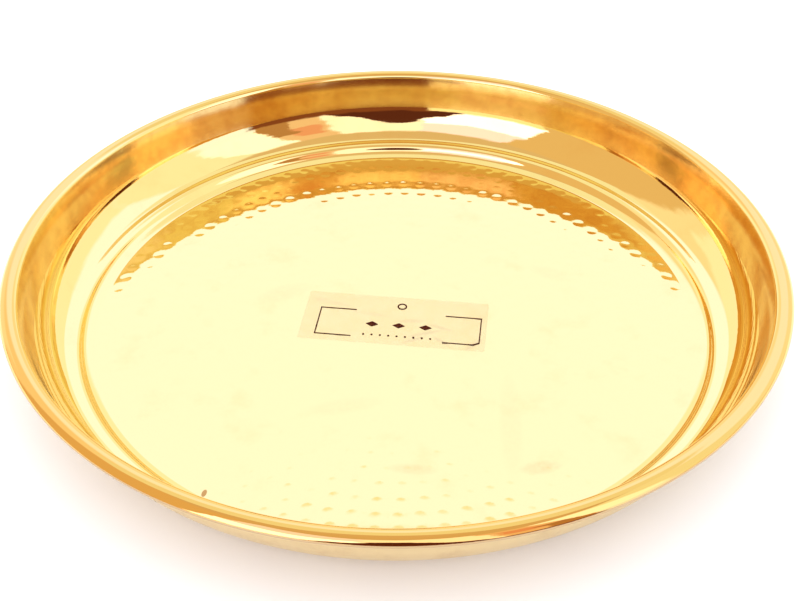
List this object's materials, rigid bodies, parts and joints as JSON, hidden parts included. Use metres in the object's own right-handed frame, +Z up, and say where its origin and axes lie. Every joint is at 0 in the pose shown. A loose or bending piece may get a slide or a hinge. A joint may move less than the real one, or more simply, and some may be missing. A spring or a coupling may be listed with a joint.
{
  "type": "offering plate",
  "caption": "Round shallow brass offering plate with a rounded wired lip, a stepped ring round its flat floor and a clear sticker.",
  "frame": {"origin": "centre of the flat underside that the plate rests on", "axes": "+Z up along the dish's axis of symmetry; +X to the right along the sticker's length, seen from the side that its print faces; +Y towards the far rim"},
  "size_m": [0.305, 0.305, 0.0352],
  "materials": {
    "plate_brass": "mirror-polished yellow brass, floor planished with small round dimples, light tarnish specks",
    "wire_brass": "drawn brass wire, unpolished",
    "clear_film": "thin clear glossy sticker film",
    "black_ink": "flat black printed ink"
  },
  "bodies": {
    "root": {"plate_body": "plate_brass", "rim_wire": "wire_brass", "label_film": "clear_film", "label_print": "black_ink"}
  },
  "joints": []
}
